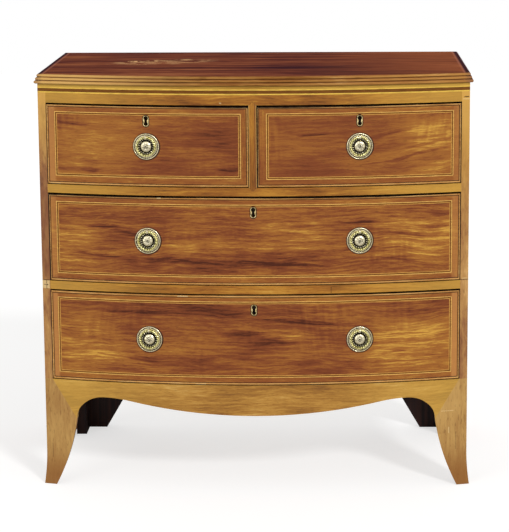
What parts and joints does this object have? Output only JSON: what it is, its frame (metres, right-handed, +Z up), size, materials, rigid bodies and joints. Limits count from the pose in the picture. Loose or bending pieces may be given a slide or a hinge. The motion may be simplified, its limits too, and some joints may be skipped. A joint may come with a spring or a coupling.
{
  "type": "bow front chest of drawers",
  "caption": "Bow front chest of drawers with short over long drawers, hinged ring pulls, sliding lock bolts, a reeded top and splayed bracket feet.",
  "frame": {"origin": "on the floor, under the middle of the top board", "axes": "+X to the right seen from the front, -Y out of the drawer fronts, +Z up"},
  "size_m": [0.944, 0.5209, 0.914],
  "materials": {
    "top_mahogany": "aged wax polish, faded",
    "side_mahogany": "aged wax polish",
    "rail_veneer": "satin wax polish",
    "apron_veneer": "satin wax polish",
    "foot_veneer": "worn wax polish",
    "drawer_veneer": "figured mahogany, wax polish",
    "cock_bead": "wax polish",
    "drawer_lining": "bare, aged",
    "carcass_pine": "bare, aged",
    "handle_brass": "lacquered, aged",
    "escutcheon_brass": "worn",
    "lock_brass": "dull"
  },
  "bodies": {
    "carcass": {"apron": "apron_veneer", "back_boards": "carcass_pine", "base_board": "carcass_pine", "drawer_stops": "carcass_pine", "dust_boards": "carcass_pine", "foot_back_left": "foot_veneer", "foot_back_right": "foot_veneer", "foot_front_left": "foot_veneer", "foot_front_right": "foot_veneer", "frieze_rail": "rail_veneer", "glue_blocks": "carcass_pine", "muntin": "rail_veneer", "rail_lower": "rail_veneer", "rail_upper": "rail_veneer", "runners": "carcass_pine", "side_left": "side_mahogany", "side_right": "side_mahogany", "top_board": "top_mahogany"},
    "bottom_drawer": {"bottom_back": "drawer_lining", "bottom_bottom": "drawer_lining", "bottom_cock_bead": "cock_bead", "bottom_escutcheon": "escutcheon_brass", "bottom_front": "drawer_veneer", "bottom_handle_plates": "handle_brass", "bottom_lock": "lock_brass", "bottom_sides": "drawer_lining"},
    "bottom_lock_bolt": {"bottom_lock_bolt": "lock_brass"},
    "bottom_ring_left": {"bottom_ring_left": "handle_brass"},
    "bottom_ring_right": {"bottom_ring_right": "handle_brass"},
    "middle_drawer": {"middle_back": "drawer_lining", "middle_bottom": "drawer_lining", "middle_cock_bead": "cock_bead", "middle_escutcheon": "escutcheon_brass", "middle_front": "drawer_veneer", "middle_handle_plates": "handle_brass", "middle_lock": "lock_brass", "middle_sides": "drawer_lining"},
    "middle_lock_bolt": {"middle_lock_bolt": "lock_brass"},
    "middle_ring_left": {"middle_ring_left": "handle_brass"},
    "middle_ring_right": {"middle_ring_right": "handle_brass"},
    "top_left_drawer": {"top_left_back": "drawer_lining", "top_left_bottom": "drawer_lining", "top_left_cock_bead": "cock_bead", "top_left_escutcheon": "escutcheon_brass", "top_left_front": "drawer_veneer", "top_left_handle_plates": "handle_brass", "top_left_lock": "lock_brass", "top_left_sides": "drawer_lining"},
    "top_left_lock_bolt": {"top_left_lock_bolt": "lock_brass"},
    "top_left_ring": {"top_left_ring": "handle_brass"},
    "top_right_drawer": {"top_right_back": "drawer_lining", "top_right_bottom": "drawer_lining", "top_right_cock_bead": "cock_bead", "top_right_escutcheon": "escutcheon_brass", "top_right_front": "drawer_veneer", "top_right_handle_plates": "handle_brass", "top_right_lock": "lock_brass", "top_right_sides": "drawer_lining"},
    "top_right_lock_bolt": {"top_right_lock_bolt": "lock_brass"},
    "top_right_ring": {"top_right_ring": "handle_brass"}
  },
  "joints": [
    {"name": "top_left_slide", "type": "slide", "parent": "carcass", "child": "top_left_drawer", "axis": [0, -1, 0], "range_m": [0, 0.33]},
    {"name": "top_left_bolt_slide", "type": "slide", "parent": "top_left_drawer", "child": "top_left_lock_bolt", "axis": [0, 0, 1], "range_m": [0, 0.009]},
    {"name": "top_left_ring_hinge", "type": "hinge", "parent": "top_left_drawer", "child": "top_left_ring", "pos_m": [-0.22858, -0.24326, 0.7828], "axis": [-0.9917, 0.1285, 0], "range_deg": [0, 110]},
    {"name": "top_right_slide", "type": "slide", "parent": "carcass", "child": "top_right_drawer", "axis": [0, -1, 0], "range_m": [0, 0.33]},
    {"name": "top_right_bolt_slide", "type": "slide", "parent": "top_right_drawer", "child": "top_right_lock_bolt", "axis": [0, 0, 1], "range_m": [0, 0.009]},
    {"name": "top_right_ring_hinge", "type": "hinge", "parent": "top_right_drawer", "child": "top_right_ring", "pos_m": [0.22858, -0.24326, 0.7828], "axis": [-0.9917, -0.1285, 0], "range_deg": [0, 110]},
    {"name": "middle_slide", "type": "slide", "parent": "carcass", "child": "middle_drawer", "axis": [0, -1, 0], "range_m": [0, 0.33]},
    {"name": "middle_bolt_slide", "type": "slide", "parent": "middle_drawer", "child": "middle_lock_bolt", "axis": [0, 0, 1], "range_m": [0, 0.009]},
    {"name": "middle_ring_left_hinge", "type": "hinge", "parent": "middle_drawer", "child": "middle_ring_left", "pos_m": [-0.22858, -0.24326, 0.5778], "axis": [-0.9917, 0.1285, 0], "range_deg": [0, 110]},
    {"name": "middle_ring_right_hinge", "type": "hinge", "parent": "middle_drawer", "child": "middle_ring_right", "pos_m": [0.22858, -0.24326, 0.5778], "axis": [-0.9917, -0.1285, 0], "range_deg": [0, 110]},
    {"name": "bottom_slide", "type": "slide", "parent": "carcass", "child": "bottom_drawer", "axis": [0, -1, 0], "range_m": [0, 0.33]},
    {"name": "bottom_bolt_slide", "type": "slide", "parent": "bottom_drawer", "child": "bottom_lock_bolt", "axis": [0, 0, 1], "range_m": [0, 0.009]},
    {"name": "bottom_ring_left_hinge", "type": "hinge", "parent": "bottom_drawer", "child": "bottom_ring_left", "pos_m": [-0.22858, -0.24326, 0.36005], "axis": [-0.9917, 0.1285, 0], "range_deg": [0, 110]},
    {"name": "bottom_ring_right_hinge", "type": "hinge", "parent": "bottom_drawer", "child": "bottom_ring_right", "pos_m": [0.22858, -0.24326, 0.36005], "axis": [-0.9917, -0.1285, 0], "range_deg": [0, 110]}
  ]
}
